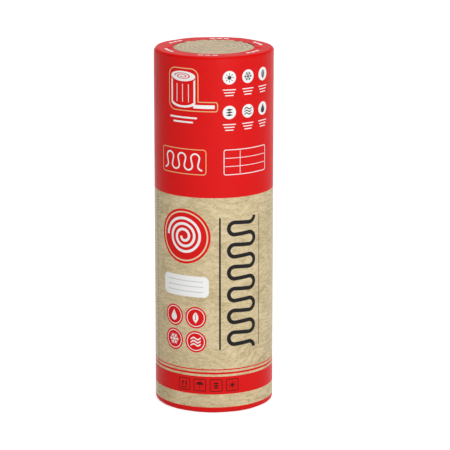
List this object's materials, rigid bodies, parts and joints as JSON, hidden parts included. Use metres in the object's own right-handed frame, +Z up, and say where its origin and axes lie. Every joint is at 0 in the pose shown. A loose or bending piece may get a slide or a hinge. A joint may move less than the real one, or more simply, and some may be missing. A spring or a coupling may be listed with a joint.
{
  "type": "insulation roll",
  "caption": "Upright roll of mineral wool insulation, wound tight and wrapped in printed film that turns in over both ends and leaves the wound wool showing in a round opening.",
  "frame": {"origin": "centre of the flat end that the roll stands on", "axes": "+Z up along the roll's axis; -Y towards the front of the print"},
  "size_m": [0.402, 0.4018, 1.222],
  "materials": {
    "wool": "matt, fibrous, sandy yellow mineral wool",
    "film": "satin polyethylene film, printed red over a wool-coloured ground"
  },
  "bodies": {
    "root": {"wool_roll": "wool", "film_wrap": "film"}
  },
  "joints": []
}
